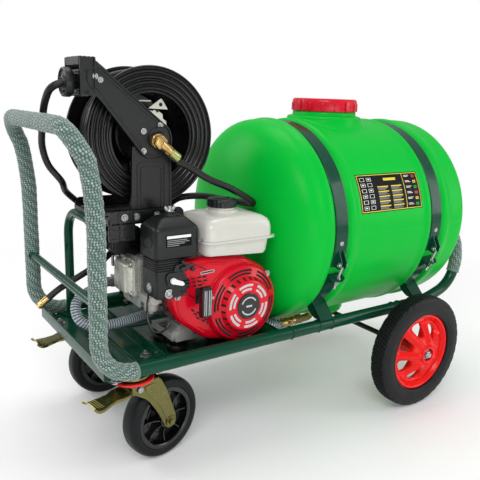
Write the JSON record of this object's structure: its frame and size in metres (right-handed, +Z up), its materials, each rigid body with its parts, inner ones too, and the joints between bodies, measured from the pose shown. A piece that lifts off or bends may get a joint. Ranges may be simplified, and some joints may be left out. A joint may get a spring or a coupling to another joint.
{
  "type": "wheeled sprayer cart",
  "caption": "Hand-pushed sprayer cart: tubular frame, moulded liquid tank, petrol engine with plunger pump, hose reel, big wheels and braked swivel casters.",
  "frame": {"origin": "centre of the plan outline at floor level", "axes": "+X from the push handle to the big wheels, +Z up, -Y the recoil starter side of the engine"},
  "size_m": [1.2868, 0.752, 0.922],
  "materials": {
    "green_paint": "dark green gloss paint",
    "axle_steel": "dark oiled steel",
    "knit": "knitted net cover, grey white and teal",
    "tank_green": "satin rotomoulded plastic, bright green",
    "red_plastic": "glossy red plastic",
    "red_paint": "bright red gloss paint",
    "brass": "brass, slightly dull",
    "red_handle": "red plastic",
    "grey_hose": "grey spiral suction hose",
    "hose_rubber": "black rubber",
    "black_paint": "black satin paint",
    "black_plastic": "black plastic, satin",
    "alloy": "cast alloy",
    "steel": "bright zinc plated steel",
    "ivory_plastic": "ivory plastic",
    "white_plastic": "white plastic",
    "zinc": "yellow passivated zinc plate",
    "tyre": "black tyre rubber"
  },
  "bodies": {
    "chassis": {"air_cleaner": "black_plastic", "axle": "axle_steel", "ball_valve": "brass", "caster_plate_far": "zinc", "caster_plate_near": "zinc", "cradle_front": "green_paint", "cradle_rear": "green_paint", "delivery_hose": "hose_rubber", "engine_block": "alloy", "engine_mount_1": "hose_rubber", "engine_mount_2": "hose_rubber", "engine_mount_3": "hose_rubber", "engine_mount_4": "hose_rubber", "engine_tray": "green_paint", "fan_shroud": "red_paint", "frame": "green_paint", "front_handle_wrap": "knit", "fuel_tank": "ivory_plastic", "guide_arm": "black_paint", "muffler": "black_paint", "outlet_elbow": "brass", "pump_body": "alloy", "pump_head": "brass", "rear_handle_wrap": "knit", "recoil_cover": "red_paint", "reel_pedestal": "black_paint", "reel_stand": "green_paint", "reel_swivel": "brass", "rocker_cover": "alloy", "spray_hose": "hose_rubber", "strap_front": "green_paint", "strap_rear": "green_paint", "suction_hose": "grey_hose", "tank_shell": "tank_green"},
    "caster_near": {"caster_fork_near": "zinc"},
    "caster_far": {"caster_fork_far": "zinc"},
    "caster_wheel_near": {"caster_tyre_near": "tyre", "caster_hub_near": "black_plastic"},
    "caster_wheel_far": {"caster_tyre_far": "tyre", "caster_hub_far": "black_plastic"},
    "brake_near": {"caster_brake_near": "zinc"},
    "brake_far": {"caster_brake_far": "zinc"},
    "wheel_near": {"wheel_tyre_near": "tyre", "wheel_rim_near": "red_plastic"},
    "wheel_far": {"wheel_tyre_far": "tyre", "wheel_rim_far": "red_plastic"},
    "reel": {"reel_drum": "black_paint", "reel_hose_pack": "hose_rubber"},
    "roller_upper": {"guide_roller_upper": "black_plastic"},
    "roller_lower": {"guide_roller_lower": "black_plastic"},
    "starter_grip": {"recoil_grip": "black_plastic"},
    "crankshaft": {"crankshaft_fan": "alloy"},
    "air_cleaner_nut": {"air_cleaner_knob": "steel"},
    "fuel_filler_cap": {"fuel_cap": "black_plastic"},
    "choke": {"choke_lever": "white_plastic"},
    "throttle": {"throttle_lever": "black_plastic"},
    "lid": {"tank_lid": "red_plastic"},
    "valve_lever": {"ball_valve_lever": "red_handle"},
    "regulator": {"regulator_knob": "red_handle"},
    "bypass": {"bypass_lever": "red_handle"}
  },
  "joints": [
    {"name": "caster_swivel_near", "type": "hinge", "parent": "chassis", "child": "caster_near", "pos_m": [-0.48325, -0.19, 0.23], "axis": [0, 0, 1], "continuous": true},
    {"name": "caster_swivel_far", "type": "hinge", "parent": "chassis", "child": "caster_far", "pos_m": [-0.48325, 0.19, 0.23], "axis": [0, 0, 1], "continuous": true},
    {"name": "caster_spin_near", "type": "hinge", "parent": "caster_near", "child": "caster_wheel_near", "pos_m": [-0.4029, -0.17365, 0.1], "axis": [-0.1994, 0.9799, 0], "continuous": true},
    {"name": "caster_brake_pivot_near", "type": "hinge", "parent": "caster_near", "child": "brake_near", "pos_m": [-0.48913, -0.1912, 0.211], "axis": [-0.1994, 0.9799, 0], "range_deg": [-12, 0]},
    {"name": "caster_spin_far", "type": "hinge", "parent": "caster_far", "child": "caster_wheel_far", "pos_m": [-0.40136, 0.19429, 0.1], "axis": [-0.0523, 0.9986, 0], "continuous": true},
    {"name": "caster_brake_pivot_far", "type": "hinge", "parent": "caster_far", "child": "brake_far", "pos_m": [-0.48924, 0.18969, 0.211], "axis": [-0.0523, 0.9986, 0], "range_deg": [-12, 0]},
    {"name": "wheel_spin_near", "type": "hinge", "parent": "chassis", "child": "wheel_near", "pos_m": [0.33575, -0.315, 0.163], "axis": [0, 1, 0], "continuous": true},
    {"name": "wheel_spin_far", "type": "hinge", "parent": "chassis", "child": "wheel_far", "pos_m": [0.33575, 0.315, 0.163], "axis": [0, 1, 0], "continuous": true},
    {"name": "reel_turn", "type": "hinge", "parent": "chassis", "child": "reel", "pos_m": [-0.37225, 0, 0.755], "axis": [0, 1, 0], "continuous": true},
    {"name": "roller_upper_spin", "type": "hinge", "parent": "chassis", "child": "roller_upper", "pos_m": [-0.53925, -0.06, 0.893], "axis": [0, 1, 0], "continuous": true},
    {"name": "roller_lower_spin", "type": "hinge", "parent": "chassis", "child": "roller_lower", "pos_m": [-0.53925, -0.06, 0.851], "axis": [0, 1, 0], "continuous": true},
    {"name": "starter_pull", "type": "slide", "parent": "chassis", "child": "starter_grip", "axis": [-0.8, -0.6, 0], "range_m": [0, 0.6]},
    {"name": "crankshaft_turn", "type": "hinge", "parent": "chassis", "child": "crankshaft", "pos_m": [-0.19125, -0.05, 0.357], "axis": [0, 1, 0], "continuous": true},
    {"name": "air_cleaner_nut_turn", "type": "hinge", "parent": "chassis", "child": "air_cleaner_nut", "pos_m": [-0.36925, -0.15, 0.6], "axis": [0, 0, 1], "continuous": true},
    {"name": "fuel_cap_turn", "type": "hinge", "parent": "chassis", "child": "fuel_filler_cap", "pos_m": [-0.22125, -0.14, 0.6], "axis": [0, 0, 1], "continuous": true},
    {"name": "choke_pivot", "type": "hinge", "parent": "chassis", "child": "choke", "pos_m": [-0.38525, -0.204, 0.442], "axis": [0, 1, 0], "range_deg": [-60, 0]},
    {"name": "throttle_pivot", "type": "hinge", "parent": "chassis", "child": "throttle", "pos_m": [-0.36125, -0.202, 0.468], "axis": [0, 1, 0], "range_deg": [-15, 40]},
    {"name": "lid_turn", "type": "hinge", "parent": "chassis", "child": "lid", "pos_m": [0.21875, 0, 0.85], "axis": [0, 0, 1], "continuous": true},
    {"name": "outlet_valve_turn", "type": "hinge", "parent": "chassis", "child": "valve_lever", "pos_m": [0.12375, 0, 0.2], "axis": [0, 0, 1], "range_deg": [-90, 0]},
    {"name": "regulator_turn", "type": "hinge", "parent": "chassis", "child": "regulator", "pos_m": [-0.33525, 0.118, 0.465], "axis": [0, 0, 1], "continuous": true},
    {"name": "bypass_pivot", "type": "hinge", "parent": "chassis", "child": "bypass", "pos_m": [-0.39725, 0.118, 0.432], "axis": [1, 0, 0], "range_deg": [0, 90]}
  ]
}
